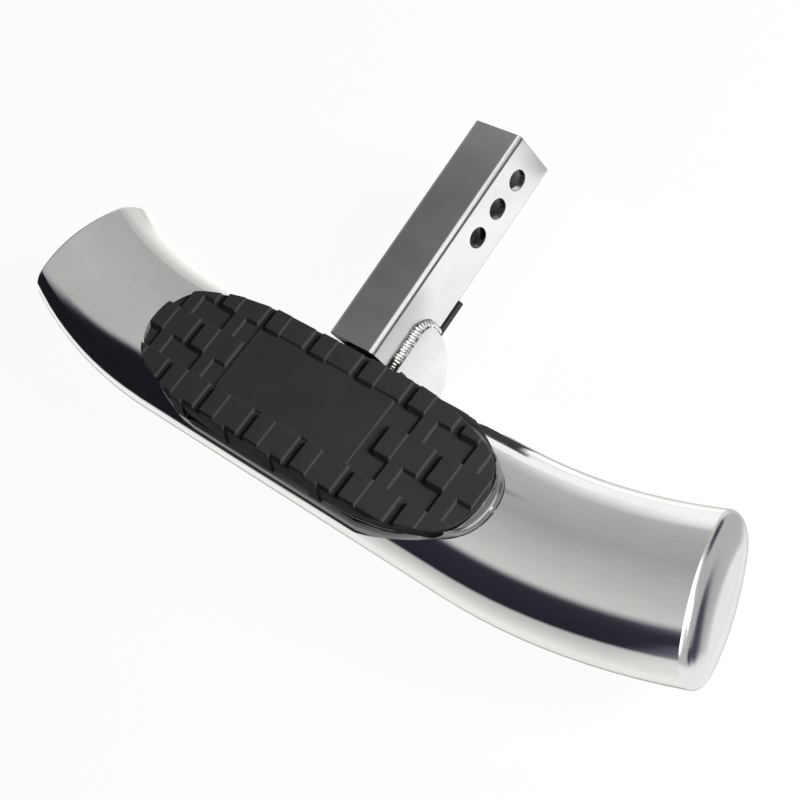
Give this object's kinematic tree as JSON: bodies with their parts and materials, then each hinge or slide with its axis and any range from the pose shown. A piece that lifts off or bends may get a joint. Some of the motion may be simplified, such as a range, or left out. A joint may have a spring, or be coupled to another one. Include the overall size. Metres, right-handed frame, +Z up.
{
  "type": "hitch receiver step",
  "caption": "Hitch receiver step: bent oval tube with a tread pad, carried by a square shank with pin holes and two gussets.",
  "frame": {"origin": "centre of the middle pin hole, on the shank's axis", "axes": "+X along the step and along the pin holes, +Y along the shank towards the vehicle, +Z up"},
  "size_m": [0.7654, 0.3286, 0.1042],
  "materials": {
    "stainless": "satin, fine brushed along the tube",
    "polished_cap": "polished",
    "shank_steel": "satin",
    "weld_steel": "as welded, brushed off",
    "pad_plastic": "satin charcoal",
    "clip_plastic": "matte"
  },
  "bodies": {
    "root": {"step_tube": "stainless", "left_end_cap": "polished_cap", "right_end_cap": "polished_cap", "step_pad": "pad_plastic", "pad_clips": "clip_plastic", "shank": "shank_steel", "shank_weld": "weld_steel", "left_gusset": "shank_steel", "right_gusset": "shank_steel", "left_shank_weld": "weld_steel", "right_shank_weld": "weld_steel", "left_tube_weld": "weld_steel", "right_tube_weld": "weld_steel", "lower_plate": "shank_steel", "plate_weld": "weld_steel"}
  },
  "joints": []
}
